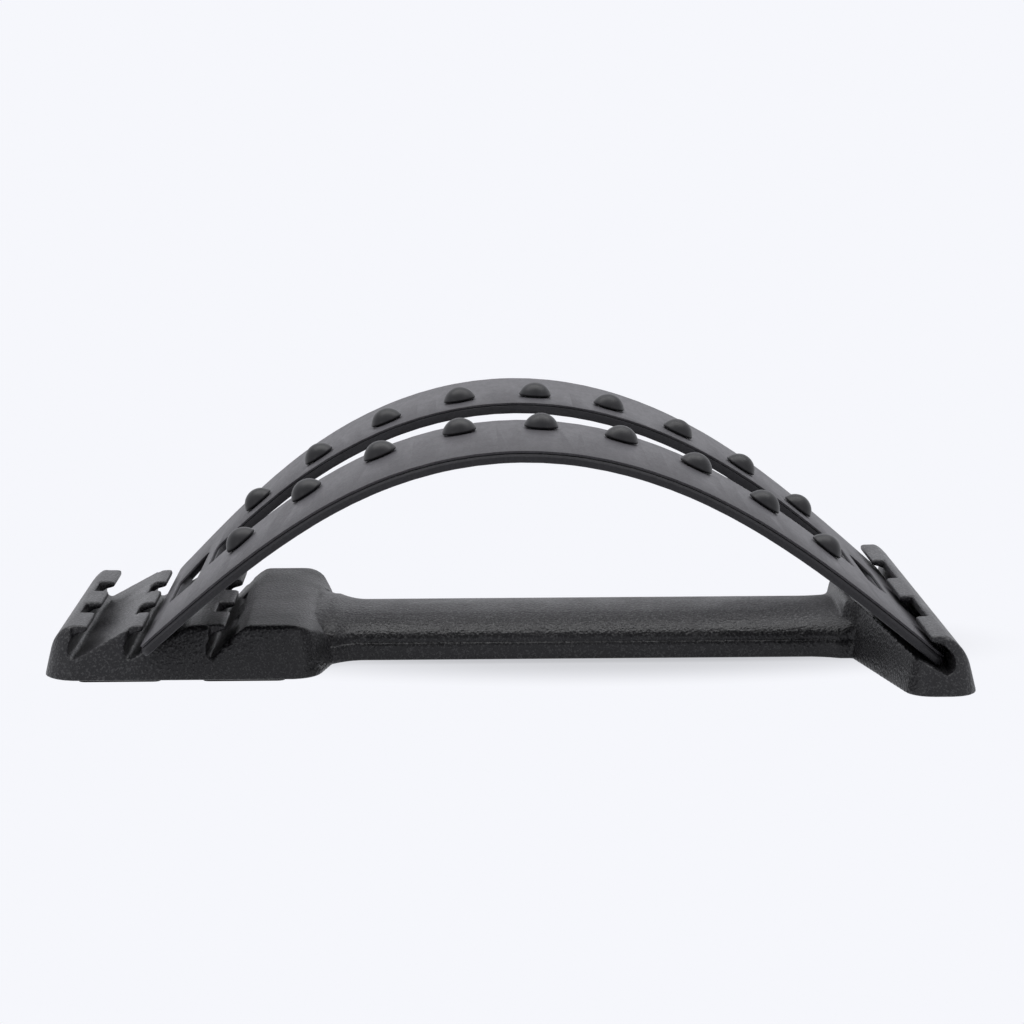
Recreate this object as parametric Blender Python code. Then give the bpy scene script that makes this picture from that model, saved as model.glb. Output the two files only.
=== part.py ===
"""Back stretcher: a bent two-layer arch board with rubber nubs, hooked into a racked base.

Metres, +Z up. X runs along the base, from the three-step rack (left, -X) to the
single-rack foot (right, +X). Y runs across it. The origin is on the floor, under the
middle of the base.
"""

import math

import bmesh
import bpy
from mathutils import Matrix, Vector

MM = 0.001

# Fits between pieces
SEAT_GAP = 0.3 * MM        # between faces that touch on the real object
HOOK_CLEARANCE = 0.4 * MM  # board's rack end to the tab tips, so that it swings up past them

# Base, overall
BASE_LENGTH = 382.0 * MM
BASE_UNDERSIDE = 1.0 * MM  # height of the moulded edge over the floor, on its pads
WALL_DRAFT = math.radians(13.0)
BASE_WALL = 2.6 * MM
RIB_THICKNESS = 2.2 * MM

# Three-step rack block
BLOCK_WIDTH = 144.0 * MM
BLOCK_LENGTH = 121.0 * MM   # beside the bar
BLOCK_CORNER_SET_BACK = 7.5 * MM    # how much shorter it is at the two corners on the bar's side
BLOCK_TOP = 23.0 * MM
BLOCK_END_RADIUS = 15.0 * MM
BLOCK_CORNER_RADIUS = 13.0 * MM
BLOCK_SHOULDER_RADIUS = 3.0 * MM
FIRST_TAB_TIP = 18.5 * MM   # from the block's outer end to the first row of tab tips
SECOND_RACK_PITCH = 23.3 * MM
THIRD_RACK_PITCH = 34.0 * MM
PLATEAU_START = 86.0 * MM   # from the block's outer end
PLATEAU_SHOULDER_RADIUS = 17.0 * MM
PLATEAU_SET_BACK = 2.5 * MM     # shoulder's foot to the block's end beside the bar
LAST_RAMP_POWER = 1.35          # how steeply the third rack's ramp leaves its pocket
BLOCK_ROUND_START = 12.8 * MM   # height where the block's outer end starts to round over
FOOT_ROUND_START = 11.8 * MM    # the same for the foot
END_WALL_TILT = math.radians(13.9)
END_ROUND_LAST_TILT = math.radians(60.0)

# Racks: tabs, pockets and ramps
TAB_THICKNESS = 2.8 * MM
POCKET_FLOOR = 9.6 * MM
BLOCK_POCKET_DEPTH = 7.4 * MM   # tab tip to pocket wall
BLOCK_NOTCH_DEPTH = 6.4 * MM
BLOCK_POCKET_RADIUS = 2.4 * MM
FOOT_POCKET_RADIUS = 3.4 * MM
POCKET_WALL_HEIGHT = 5.0 * MM
RAMP_ANGLE = math.radians(29.0)
BLOCK_MIDDLE_TAB = 27.0 * MM
BLOCK_NOTCH_WIDTH = 21.5 * MM
BLOCK_OUTER_TAB = 29.0 * MM

# Bar
BAR_WIDTH = 72.0 * MM
BAR_HEIGHT = 18.6 * MM
BAR_LIP_HEIGHT = 6.8 * MM
BAR_LIP_STEP = 0.8 * MM
BAR_CROWN_POWER = 3.8     # 2 for a half ellipse, more for a flatter top
BAR_BLOCK_FLARE = 7.0 * MM      # on each side, where it meets the block
BAR_FOOT_FLARE = 3.5 * MM       # on each side, where it meets the foot
BAR_BLOCK_RISE = 2.2 * MM       # upwards, where it meets the block
BAR_FLARE_LENGTH = 12.0 * MM

# Single-rack foot
FOOT_WIDTH = 228.0 * MM
FOOT_LENGTH = 48.5 * MM     # where it meets the bar
FOOT_NECK_LENGTH = 42.5 * MM    # beside the bar, where the wings start
FOOT_NECK_WIDTH = 76.0 * MM
FOOT_TIP_LENGTH = 27.5 * MM  # at its two outer corners
FOOT_TOP = 24.7 * MM
FOOT_SHOULDER_TOP = 25.0 * MM
FOOT_CORNER_RADIUS = 11.0 * MM
FOOT_SHOULDER_RADIUS = 4.0 * MM
FOOT_TAB_TIP = 19.0 * MM    # from the foot's outer end
FOOT_POCKET_DEPTH = 9.2 * MM
FOOT_NOTCH_DEPTH = 5.0 * MM
FOOT_MIDDLE_TAB = 42.0 * MM
FOOT_NOTCH_WIDTH = 44.0 * MM
FOOT_OUTER_TAB = 42.0 * MM

# Anti-slip pads under the base
PAD_LENGTH = 34.0 * MM
PAD_WIDTH = 6.0 * MM
PAD_RECESS = 1.6 * MM
PAD_EDGE = 6.4 * MM         # pad's middle line from the base's outline

# Arch board
ARCH_RISE = 85.9 * MM       # of its underside, over the line between its two ends
ARCH_LEAN = 0.10            # share of extra bend on the rack block's side
ARCH_FOCUS = 1.3            # 1 for a bend like a plain sine, more to gather it in the middle
BOARD_THICKNESS = 3.4 * MM
FACING_THICKNESS = 0.9 * MM
FACING_INSET = 1.2 * MM
BOARD_TOP_EDGE = 0.9 * MM   # bevel on the board's upper rim
BOARD_LOWER_EDGE = 0.4 * MM
BOARD_WIDTH = 245.0 * MM
BOARD_LEFT_END_WIDTH = 179.0 * MM
BOARD_RIGHT_END_WIDTH = 206.0 * MM
BOARD_END_RADIUS = 6.5 * MM
BOARD_TAPER_LENGTH = 95.0 * MM
BLOCK_LUG_LENGTH = 1.2 * MM
FOOT_LUG_LENGTH = 1.3 * MM
LUG_CLEARANCE = 1.5 * MM        # lug to notch, on each side
SLOT_WIDTH = 55.0 * MM
SLOT_END_WIDTH = 44.0 * MM
SLOT_END_TAPER = 40.0 * MM
LEFT_WINDOW_START = 10.0 * MM   # from the board's rack end
LEFT_WINDOW_LENGTH = 16.0 * MM
RIGHT_WINDOW_START = 19.0 * MM  # from the board's foot end
RIGHT_WINDOW_LENGTH = 10.5 * MM
WINDOW_OUTER_WIDTH = 44.0 * MM
WINDOW_INNER_WIDTH = 70.0 * MM
WINDOW_RELIEF = 24.0 * MM       # how much wider each side of a window is in the lower layer
BRIDGE_WIDTH = 7.5 * MM
OPENING_CORNER_RADIUS = 2.5 * MM
SLOT_SIDE_RADIUS = 60.0 * MM    # where the slot starts to narrow

# Nubs
NUB_COUNT = 9               # in each row
NUB_PITCH = 32.8 * MM       # mean spacing along the board
NUB_PITCH_CLOSING = 2.0 * MM    # how much the spacing closes up towards the foot
NUB_FIRST = 55.0 * MM       # from the board's rack end
NUB_ROW_SPACING = 106.0 * MM    # between the two rows
NUB_DIAMETER = 14.4 * MM
NUB_HEIGHT = 6.3 * MM
NUB_RIM = 0.8 * MM
NUB_RIM_SLOPE = math.radians(66.0)  # how steeply its dome meets the rim
NUB_STEM_DIAMETER = 8.0 * MM
NUB_HEAD_DIAMETER = 10.6 * MM
NUB_HEAD_THICKNESS = 1.6 * MM

# How finely curves are divided
CORNER_STEPS = 7
BEND_STEP = 8.5 * MM
NUB_SIDES = 16
HOLE_SIDES = 12

LEFT = -BASE_LENGTH / 2
RIGHT = BASE_LENGTH / 2


def material(name, colour, roughness, specular=0.5):
    """A plain Principled material."""
    made = bpy.data.materials.new(name)
    made.use_nodes = True
    shader = made.node_tree.nodes["Principled BSDF"]
    shader.inputs["Base Color"].default_value = (*colour, 1.0)
    shader.inputs["Roughness"].default_value = roughness
    shader.inputs["Metallic"].default_value = 0.0
    shader.inputs["Specular IOR Level"].default_value = specular
    return made


def add_object(name, mesh_source, finish=None):
    """Turn a bmesh into a named object in the scene."""
    mesh = bpy.data.meshes.new(name)
    bmesh.ops.recalc_face_normals(mesh_source, faces=mesh_source.faces)
    mesh_source.to_mesh(mesh)
    mesh_source.free()
    if finish:
        mesh.materials.append(finish)
    thing = bpy.data.objects.new(name, mesh)
    bpy.context.collection.objects.link(thing)
    return thing


def apply_modifiers(thing):
    """Bake an object's modifiers into its mesh, and drop them."""
    depsgraph = bpy.context.evaluated_depsgraph_get()
    depsgraph.update()
    baked = bpy.data.meshes.new_from_object(thing.evaluated_get(depsgraph))
    thing.modifiers.clear()
    thing.data = baked


def combine(thing, tool, operation):
    """Union, cut or intersect with a tool object, and remove the tool."""
    step = thing.modifiers.new(operation.lower(), "BOOLEAN")
    step.operation = operation
    step.solver = "EXACT"
    step.object = tool
    apply_modifiers(thing)
    bpy.data.objects.remove(tool)


def smooth_round_faces(thing, angle=35.0):
    """Shade smooth, but keep true corners sharp."""
    thing.data.shade_smooth()
    thing.data.set_sharp_from_angle(angle=math.radians(angle))


# Outlines

def rounded(corners, inset=0.0, steps=CORNER_STEPS):
    """Closed outline with its corners rounded, each side moved inwards by an inset.

    corners is a list of (x, y, radius), running anticlockwise.
    """
    count = len(corners)
    moved = []
    for i in range(count):
        before = Vector(corners[i - 1][:2])
        here = Vector(corners[i][:2])
        after = Vector(corners[(i + 1) % count][:2])
        first = (here - before).normalized()
        second = (after - here).normalized()
        first_in = Vector((-first.y, first.x))
        second_in = Vector((-second.y, second.x))
        turn = first.cross(second)
        share = inset / (1.0 + first_in.dot(second_in))
        point = here + (first_in + second_in) * share
        side = 1.0 if turn > 0 else -1.0
        moved.append((point, first, second, max(corners[i][2] - side * inset, 0.3 * MM), side))
    points = []
    for point, first, second, radius, side in moved:
        angle = first.angle(second)
        reach = radius * math.tan(angle / 2)
        inward = Vector((-first.y, first.x)) * side
        centre = point - first * reach + inward * radius
        start = point - first * reach - centre
        for k in range(steps + 1):
            turned = Matrix.Rotation(side * angle * k / steps, 2) @ start
            points.append(centre + turned)
    return points


def prism(points, low, high, axis):
    """Extrude a closed outline from low to high along Y or Z."""
    made = bmesh.new()
    if axis == "Y":
        ring = [made.verts.new((p[0], low, p[1])) for p in points]
        shift = Vector((0, high - low, 0))
    else:
        ring = [made.verts.new((p[0], p[1], low)) for p in points]
        shift = Vector((0, 0, high - low))
    face = made.faces.new(ring)
    grown = bmesh.ops.extrude_face_region(made, geom=[face])
    top = [v for v in grown["geom"] if isinstance(v, bmesh.types.BMVert)]
    bmesh.ops.translate(made, verts=top, vec=shift)
    bmesh.ops.recalc_face_normals(made, faces=made.faces)
    return made


def stack(rings):
    """Closed solid through rings of points, capped at both ends."""
    made = bmesh.new()
    loops = []
    for ring in rings:
        loops.append([made.verts.new(p) for p in ring])
    for lower, upper in zip(loops, loops[1:]):
        count = len(lower)
        for i in range(count):
            j = (i + 1) % count
            made.faces.new((lower[i], lower[j], upper[j], upper[i]))
    made.faces.new(list(reversed(loops[0])))
    made.faces.new(loops[-1])
    bmesh.ops.recalc_face_normals(made, faces=made.faces)
    return made


def merge_into(target, source):
    """Add one bmesh's faces to another, and free it."""
    mesh = bpy.data.meshes.new("part")
    source.to_mesh(mesh)
    source.free()
    target.from_mesh(mesh)
    bpy.data.meshes.remove(mesh)


# Base moulding

def moulded_blank(corners, top, shoulder):
    """Drafted block over an outline, with a rounded shoulder up to its top."""
    edge = 0.6 * MM
    start_z = top - shoulder + shoulder * math.sin(WALL_DRAFT)
    start_inset = (start_z - BASE_UNDERSIDE - edge) * math.tan(WALL_DRAFT)
    centre_inset = start_inset + shoulder * math.cos(WALL_DRAFT)
    levels = [(edge, BASE_UNDERSIDE), (0.0, BASE_UNDERSIDE + edge)]
    steps = 4
    for k in range(steps + 1):
        angle = WALL_DRAFT + (math.radians(88.0) - WALL_DRAFT) * k / steps
        inset = centre_inset - shoulder * math.cos(angle)
        levels.append((inset, top - shoulder + shoulder * math.sin(angle)))
    rings = []
    for inset, z in levels:
        rings.append([(p.x, p.y, z) for p in rounded(corners, inset)])
    return stack(rings)


def rack_points(tip, top, depth, radius, side):
    """Tab, hook and pocket in side view, from the tab's top down to the ramp's foot.

    side is +1 for tabs that point to +X and -1 for tabs that point to -X.
    """
    lip = 0.6 * MM
    points = [(tip - side * lip, top), (tip, top - lip), (tip, top - TAB_THICKNESS)]
    under = top - TAB_THICKNESS
    wall_top = POCKET_FLOOR + POCKET_WALL_HEIGHT
    steps = 5
    for k in range(1, steps + 1):
        angle = math.radians(90.0) * k / steps
        across = depth * math.sin(angle)
        points.append((tip - side * across, wall_top + (under - wall_top) * math.cos(angle)))
    wall = tip - side * depth
    steps = 5
    for k in range(1, steps + 1):
        angle = math.radians(90.0) * k / steps
        x = wall + side * radius * (1 - math.cos(angle))
        points.append((x, POCKET_FLOOR + radius * (1 - math.sin(angle))))
    return points


def ramp_start(tip, depth, radius, side):
    """Where the ramp leaves the pocket's floor."""
    return tip - side * (depth - radius)


def block_ramp_start(tip):
    return ramp_start(tip, BLOCK_POCKET_DEPTH, BLOCK_POCKET_RADIUS, 1)


def foot_ramp_start():
    return ramp_start(foot_tip(), FOOT_POCKET_DEPTH, FOOT_POCKET_RADIUS, -1)


def ramp_height(x, start, side):
    """Height at x of a ramp that leaves its pocket's floor at start."""
    return POCKET_FLOOR + side * (x - start) * math.tan(RAMP_ANGLE)


def ramp_crest(start, side, top):
    """Points where a ramp rounds over into the flat top beyond it."""
    rise = top - POCKET_FLOOR
    reach = rise / math.tan(RAMP_ANGLE)
    corner = start + side * reach
    soft = 2.2 * MM
    before = (corner - side * soft * math.cos(RAMP_ANGLE), top - soft * math.sin(RAMP_ANGLE))
    middle = (corner - side * soft * 0.1, top - soft * 0.14)
    return [before, middle, (corner + side * soft, top)]


def block_tips():
    first = LEFT + FIRST_TAB_TIP
    second = first + SECOND_RACK_PITCH
    return [first, second, second + THIRD_RACK_PITCH]


def plateau_end():
    """Where the plateau starts to round down towards the bar."""
    return LEFT + BLOCK_LENGTH - PLATEAU_SET_BACK - PLATEAU_SHOULDER_RADIUS


def end_round(outer, top, start, side):
    """The base's rounded outer end in side view, from low on its wall up to its top.

    start is the height where the leaning end wall begins to round over.
    """
    low = -5 * MM
    first = END_WALL_TILT
    last = END_ROUND_LAST_TILT
    inset = (start - BASE_UNDERSIDE) * math.tan(first)
    radius = (top - start) / (math.sin(last) - math.sin(first))
    points = [(outer - side * (BASE_UNDERSIDE - low) * math.tan(first), low)]
    steps = 8
    for k in range(steps + 1):
        tilt = first + (last - first) * k / steps
        x = outer + side * (inset + radius * (math.cos(first) - math.cos(tilt)))
        points.append((x, start + radius * (math.sin(tilt) - math.sin(first))))
    return points


def block_side_view():
    """The rack block's side view: three racks, a steep run up and the plateau."""
    points = end_round(LEFT, BLOCK_TOP, BLOCK_ROUND_START, 1)
    for index, tip in enumerate(block_tips()):
        points += rack_points(tip, BLOCK_TOP, BLOCK_POCKET_DEPTH, BLOCK_POCKET_RADIUS, 1)
        start = block_ramp_start(tip)
        crest = ramp_crest(start, 1, BLOCK_TOP)
        if index == 0:
            points += crest[:2]
        elif index == 1:
            points += crest
    end = LEFT + PLATEAU_START
    steps = 8
    for k in range(1, steps + 1):
        share = k / steps
        rise = (BLOCK_TOP - POCKET_FLOOR) * (1 - (1 - share) ** LAST_RAMP_POWER)
        points.append((start + (end - start) * share, POCKET_FLOOR + rise))
    centre = plateau_end()
    radius = PLATEAU_SHOULDER_RADIUS
    steps = 9
    for k in range(steps + 1):
        angle = (math.radians(90.0) - WALL_DRAFT * 0.6) * k / steps
        x = centre + radius * math.sin(angle)
        points.append((x, BLOCK_TOP - radius * (1 - math.cos(angle))))
    low = -5 * MM
    points.append((points[-1][0] + (points[-1][1] - low) * math.tan(WALL_DRAFT * 0.6), low))
    return points


def foot_tip():
    return RIGHT - FOOT_TAB_TIP


def foot_side_view():
    """The foot's side view: a shoulder over the bar, a ramp down and one rack."""
    points = end_round(RIGHT, FOOT_TOP, FOOT_ROUND_START, -1)
    points += rack_points(foot_tip(), FOOT_TOP, FOOT_POCKET_DEPTH, FOOT_POCKET_RADIUS, -1)
    rise = FOOT_SHOULDER_TOP - POCKET_FLOOR
    crest = foot_ramp_start() - rise / math.tan(RAMP_ANGLE)
    soft = 3.0 * MM
    points.append((crest + soft * math.cos(RAMP_ANGLE), FOOT_SHOULDER_TOP - soft * math.sin(RAMP_ANGLE)))
    points.append((crest + soft * 0.1, FOOT_SHOULDER_TOP - soft * 0.14))
    points.append((crest - soft, FOOT_SHOULDER_TOP))
    points.append((RIGHT - FOOT_LENGTH - 10 * MM, FOOT_SHOULDER_TOP))
    points.append((RIGHT - FOOT_LENGTH - 10 * MM, -5 * MM))
    return points


def bar_section(half_width, height):
    """One cross-section of the bar: a low lip with a crown over it, as (y, z)."""
    lip_top = BASE_UNDERSIDE + BAR_LIP_HEIGHT
    right = [(half_width, BASE_UNDERSIDE), (half_width - BAR_LIP_STEP / 2, lip_top)]
    crown = half_width - BAR_LIP_STEP * 2
    steps = 7
    for k in range(steps):
        angle = math.radians(90.0) * k / steps
        across = crown * math.cos(angle) ** (2 / BAR_CROWN_POWER)
        up = (height - lip_top) * math.sin(angle) ** (2 / BAR_CROWN_POWER)
        right.append((across, lip_top + 0.2 * MM + up * (1 - 0.2 * MM / (height - lip_top))))
    left = [(-y, z) for y, z in reversed(right)]
    return right + [(0.0, height)] + left


def bar_blank():
    """The bar, flared where it runs into the block, and a little at the foot."""
    start = LEFT + BLOCK_LENGTH - 9 * MM
    end = RIGHT - FOOT_LENGTH + 9 * MM
    rings = []
    stations = [(start, BAR_BLOCK_FLARE, BAR_BLOCK_RISE)]
    flare = BAR_FLARE_LENGTH
    block_end = LEFT + BLOCK_LENGTH
    foot_start = RIGHT - FOOT_LENGTH
    steps = 5
    for k in range(steps + 1):
        share = (1 - k / steps) ** 2
        x = block_end - 1 * MM + flare * k / steps
        stations.append((x, BAR_BLOCK_FLARE * share, BAR_BLOCK_RISE * share))
    for k in range(steps + 1):
        share = (k / steps) ** 2
        x = foot_start + 1 * MM - flare * (1 - k / steps)
        stations.append((x, BAR_FOOT_FLARE * share, 0.0))
    stations.append((end, BAR_FOOT_FLARE, 0.0))
    for x, wider, higher in stations:
        section = bar_section(BAR_WIDTH / 2 + wider, BAR_HEIGHT + higher)
        rings.append([(x, y, z) for y, z in section])
    return stack(rings)


def block_corners():
    half = BLOCK_WIDTH / 2
    beside = LEFT + BLOCK_LENGTH
    corner = beside - BLOCK_CORNER_SET_BACK
    neck = BAR_WIDTH / 2
    return [
        (LEFT, -half, BLOCK_END_RADIUS),
        (corner, -half, BLOCK_CORNER_RADIUS),
        (beside, -neck, 8 * MM),
        (beside, neck, 8 * MM),
        (corner, half, BLOCK_CORNER_RADIUS),
        (LEFT, half, BLOCK_END_RADIUS),
    ]


def foot_corners():
    half = FOOT_WIDTH / 2
    inner = RIGHT - FOOT_LENGTH
    outer_inner = RIGHT - FOOT_TIP_LENGTH
    beside = RIGHT - FOOT_NECK_LENGTH
    neck = FOOT_NECK_WIDTH / 2
    return [
        (outer_inner, -half, FOOT_CORNER_RADIUS),
        (RIGHT, -half, FOOT_CORNER_RADIUS),
        (RIGHT, half, FOOT_CORNER_RADIUS),
        (outer_inner, half, FOOT_CORNER_RADIUS),
        (beside, neck, 8 * MM),
        (inner, neck - 10 * MM, 8 * MM),
        (inner, -neck + 10 * MM, 8 * MM),
        (beside, -neck, 8 * MM),
    ]


def wing_inner_edge(y):
    """X of the foot's inner wall at the floor, out along a wing."""
    half = FOOT_WIDTH / 2
    neck = FOOT_NECK_WIDTH / 2
    share = (abs(y) - neck) / (half - neck)
    return RIGHT - FOOT_NECK_LENGTH + (FOOT_NECK_LENGTH - FOOT_TIP_LENGTH) * share


def tab_rows(middle, notch, outer):
    """Notches across a rack: the two between the tabs, and one past each outer tab."""
    first = middle / 2
    second = first + notch
    third = second + outer
    far = third + FOOT_WIDTH
    return [(first, second), (third, far), (-second, -first), (-far, -third)]


def notch_cutters():
    """Boxes that cut the overhanging ridges into separate tabs."""
    cutters = bmesh.new()
    reach = 2.5 * MM
    for tip in block_tips():
        for low, high in tab_rows(BLOCK_MIDDLE_TAB, BLOCK_NOTCH_WIDTH, BLOCK_OUTER_TAB):
            corners = [
                (tip - BLOCK_NOTCH_DEPTH, low), (tip + reach, low),
                (tip + reach, high), (tip - BLOCK_NOTCH_DEPTH, high),
            ]
            bottom = POCKET_FLOOR + POCKET_WALL_HEIGHT + 0.5 * MM
            merge_into(cutters, prism(corners, bottom, 40 * MM, "Z"))
    tip = foot_tip()
    for low, high in tab_rows(FOOT_MIDDLE_TAB, FOOT_NOTCH_WIDTH, FOOT_OUTER_TAB):
        corners = [
            (tip - reach, low), (tip + FOOT_NOTCH_DEPTH, low),
            (tip + FOOT_NOTCH_DEPTH, high), (tip - reach, high),
        ]
        merge_into(cutters, prism(corners, POCKET_FLOOR + POCKET_WALL_HEIGHT + 1.5 * MM, 40 * MM, "Z"))
    return cutters


def bays(low, high, count):
    """Split a width into bays with a rib between each."""
    step = (high - low + RIB_THICKNESS) / count
    return [(low + step * k, low + step * (k + 1) - RIB_THICKNESS) for k in range(count)]


def hollow_cutters():
    """Cells cut up into the base from below, so that ribs and an even wall are left."""
    cutters = bmesh.new()
    below = -2 * MM
    tips = block_tips()
    slope = math.tan(RAMP_ANGLE)
    cells = []
    for tip, next_tip in zip(tips, tips[1:]):
        start = block_ramp_start(tip) - BASE_WALL
        end = next_tip - BLOCK_POCKET_DEPTH - BASE_WALL
        low = POCKET_FLOOR - BASE_WALL
        high = BLOCK_TOP - BASE_WALL
        under_crest = start + BASE_WALL + (high - low) / slope
        roof = [(end, low + (end - start - BASE_WALL) * slope)]
        if under_crest < end:
            roof = [(end, high), (under_crest, high)]
        cells.append([(start, below), (end, below)] + roof + [(start + BASE_WALL, low), (start, low)])
    plateau = LEFT + PLATEAU_START
    start = block_ramp_start(tips[2]) - BASE_WALL
    low = POCKET_FLOOR - BASE_WALL
    cells.append([(start, below), (plateau, below), (plateau, low), (start, low)])
    roof = BLOCK_TOP - BASE_WALL * 1.3
    start = plateau + RIB_THICKNESS
    end = plateau_end() + PLATEAU_SHOULDER_RADIUS / 2
    shoulder_drop = PLATEAU_SHOULDER_RADIUS * (1 - math.cos(math.radians(30.0)))
    if end - start > BASE_WALL:
        cells.append([(start, below), (end, below), (end, roof - shoulder_drop), (start, roof)])
    reach = BLOCK_WIDTH / 2 - PAD_EDGE - PAD_WIDTH / 2 - RIB_THICKNESS
    for cell in cells:
        for low, high in bays(-reach, reach, 4):
            merge_into(cutters, prism(cell, low, high, "Y"))
    bar_start = LEFT + BLOCK_LENGTH + RIB_THICKNESS
    bar_end = RIGHT - FOOT_LENGTH - RIB_THICKNESS
    crown = BAR_HEIGHT - BASE_WALL
    side = BAR_WIDTH / 2 - BASE_WALL * 1.5
    for low, high in bays(bar_start, bar_end, 6):
        for side_low, side_high in bays(-side, side, 2):
            outer = max(abs(side_low), abs(side_high))
            sign = 1 if side_high > RIB_THICKNESS else -1
            inner = min(abs(side_low), abs(side_high))
            section = [
                (sign * inner, below), (sign * outer, below), (sign * outer, BAR_LIP_HEIGHT),
                (sign * outer * 0.78, crown * 0.86), (sign * inner, crown * 0.97),
            ]
            rings = [[(x, y, z) for y, z in section] for x in (low, high)]
            merge_into(cutters, stack(rings))
    ramp = foot_ramp_start()
    foot_start = RIGHT - FOOT_NECK_LENGTH + BASE_WALL * 2.2
    foot_end = ramp - BASE_WALL
    inner_width = FOOT_NECK_WIDTH
    top_at_start = ramp_height(foot_start, ramp, -1) - BASE_WALL * 1.3
    cell = [
        (foot_start, below), (foot_end, below), (foot_end, POCKET_FLOOR - BASE_WALL),
        (foot_start, top_at_start),
    ]
    for low, high in bays(-inner_width / 2, inner_width / 2, 3):
        merge_into(cutters, prism(cell, low, high, "Y"))
    wing_low = inner_width / 2 + RIB_THICKNESS
    wing_high = FOOT_WIDTH / 2 - FOOT_CORNER_RADIUS
    for low, high in bays(wing_low, wing_high, 3):
        start = wing_inner_edge(high) + BASE_WALL * 2.2
        roof = ramp_height(start, ramp, -1) - BASE_WALL * 1.3
        wing = [(start, below), (foot_end, below), (foot_end, POCKET_FLOOR - BASE_WALL), (start, roof)]
        merge_into(cutters, prism(wing, low, high, "Y"))
        merge_into(cutters, prism(wing, -high, -low, "Y"))
    return cutters


def pad_places():
    """Middle of each pad and whether it lies along X or Y."""
    block_y = BLOCK_WIDTH / 2 - PAD_EDGE
    first_x = LEFT + BLOCK_END_RADIUS + PAD_LENGTH / 2
    corner_x = LEFT + BLOCK_LENGTH - BLOCK_CORNER_SET_BACK
    second_x = corner_x - BLOCK_CORNER_RADIUS - PAD_LENGTH / 2
    foot_x = RIGHT - PAD_EDGE
    foot_y = FOOT_WIDTH / 2 - FOOT_CORNER_RADIUS - PAD_LENGTH / 2
    return [
        (first_x, -block_y, "X"), (second_x, -block_y, "X"),
        (first_x, block_y, "X"), (second_x, block_y, "X"),
        (foot_x, -foot_y, "Y"), (foot_x, foot_y, "Y"),
    ]


def pad_outline(x, y, along, grow):
    half_long = PAD_LENGTH / 2 + grow
    half_wide = PAD_WIDTH / 2 + grow
    if along == "Y":
        half_long, half_wide = half_wide, half_long
    radius = PAD_WIDTH / 2 - 0.2 * MM + grow
    corners = [
        (x - half_long, y - half_wide, radius), (x + half_long, y - half_wide, radius),
        (x + half_long, y + half_wide, radius), (x - half_long, y + half_wide, radius),
    ]
    return rounded(corners, steps=4)


def make_base(finish):
    block = moulded_blank(block_corners(), BLOCK_TOP, BLOCK_SHOULDER_RADIUS)
    base = add_object("base_moulding", block, finish)
    wide = BLOCK_WIDTH
    combine(base, add_object("block_side_view", prism(block_side_view(), -wide, wide, "Y")), "INTERSECT")
    foot = add_object("foot", moulded_blank(foot_corners(), FOOT_SHOULDER_TOP, FOOT_SHOULDER_RADIUS))
    wide = FOOT_WIDTH
    combine(foot, add_object("foot_side_view", prism(foot_side_view(), -wide, wide, "Y")), "INTERSECT")
    combine(base, add_object("bar", bar_blank()), "UNION")
    combine(base, foot, "UNION")
    combine(base, add_object("notches", notch_cutters()), "DIFFERENCE")
    combine(base, add_object("cells", hollow_cutters()), "DIFFERENCE")
    recesses = bmesh.new()
    for x, y, along in pad_places():
        outline = pad_outline(x, y, along, SEAT_GAP)
        merge_into(recesses, prism(outline, -2 * MM, BASE_UNDERSIDE + PAD_RECESS, "Z"))
    combine(base, add_object("pad_recesses", recesses), "DIFFERENCE")
    smooth_round_faces(base)
    return base


def make_pads(finish):
    for index, (x, y, along) in enumerate(pad_places(), start=1):
        top = BASE_UNDERSIDE + PAD_RECESS - SEAT_GAP
        pad = prism([p - Vector((x, y)) for p in pad_outline(x, y, along, 0.0)], 0.0, top, "Z")
        thing = add_object(f"foot_pad_{index}", pad, finish)
        thing.location = (x, y, 0.0)


# Arch board

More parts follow.
